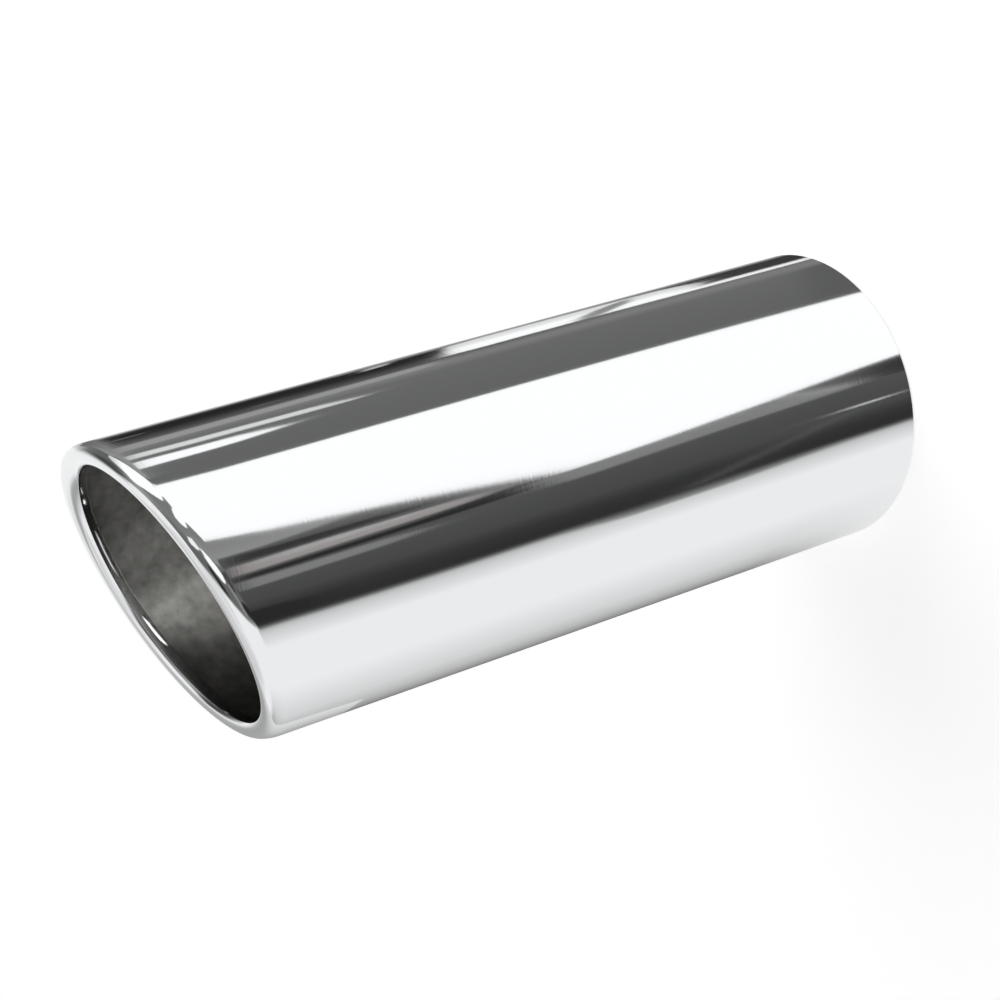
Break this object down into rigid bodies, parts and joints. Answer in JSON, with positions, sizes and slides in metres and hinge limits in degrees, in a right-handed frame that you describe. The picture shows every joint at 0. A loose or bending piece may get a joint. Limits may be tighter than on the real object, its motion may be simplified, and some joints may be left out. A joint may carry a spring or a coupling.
{
  "type": "exhaust tip",
  "caption": "Slash-cut exhaust tip: a polished steel tube with a slanted mouth and an inward-rolled lip, fastened to the end of a tailpipe at its square rear end.",
  "frame": {"origin": "centre of the square rear end, where the tube's axis meets the surface that it stands on", "axes": "+Z along the tube's axis with the gas flow, from the rear end to the mouth; +X towards the long side of the slanted mouth"},
  "size_m": [0.076, 0.076, 0.2168],
  "materials": {
    "polished_steel": "stainless steel sheet, polished to a mirror outside and over the lip, satin inside"
  },
  "bodies": {
    "root": {"tip_tube": "polished_steel"}
  },
  "joints": []
}
